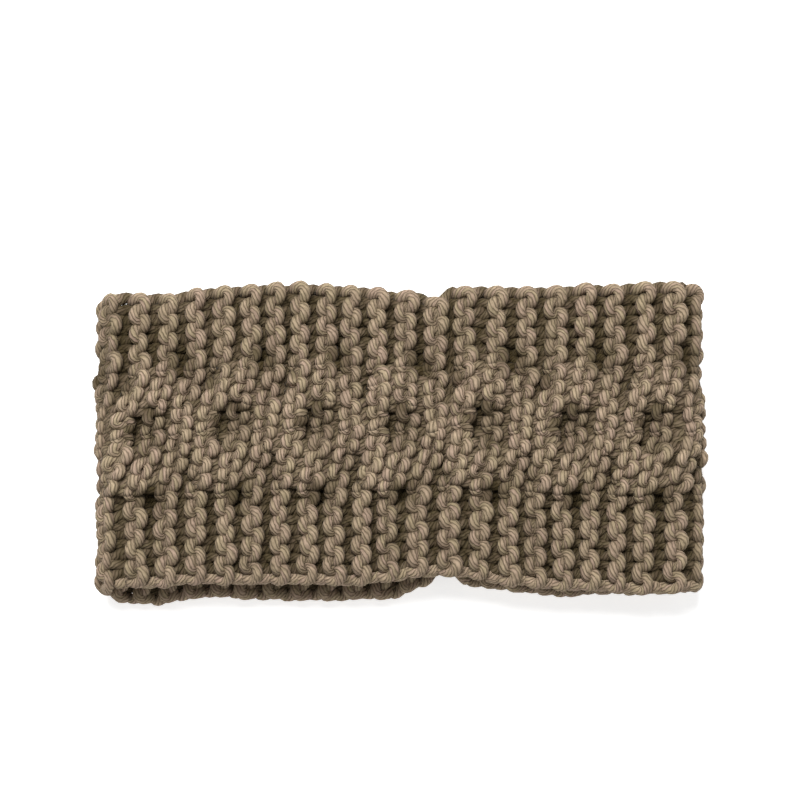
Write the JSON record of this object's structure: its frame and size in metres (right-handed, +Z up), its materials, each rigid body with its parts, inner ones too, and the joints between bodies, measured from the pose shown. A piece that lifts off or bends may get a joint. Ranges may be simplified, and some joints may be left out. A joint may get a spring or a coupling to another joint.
{
  "type": "ear warmer headband",
  "caption": "Knitted ear warmer headband, folded flat: garter-stitch borders above and below a twisted cable, closed by a sewn seam at the back.",
  "frame": {"origin": "on the floor, under the middle of the folded band's bounding box", "axes": "+X along the folded band, +Y across it towards its upper edge, +Z up through the two layers"},
  "size_m": [0.2416, 0.1292, 0.0278],
  "materials": {
    "border_yarn": "soft plied acrylic and wool yarn, greige, garter stitch",
    "cable_yarn": "soft plied acrylic and wool yarn, greige, knitted in twisted strands",
    "sewing_yarn": "the same yarn, sewn edge to edge"
  },
  "bodies": {
    "root": {"upper_border": "border_yarn", "lower_border": "border_yarn", "upper_strand_a": "cable_yarn", "upper_strand_b": "cable_yarn", "lower_strand_a": "cable_yarn", "lower_strand_b": "cable_yarn", "seam_yarn": "sewing_yarn"}
  },
  "joints": []
}
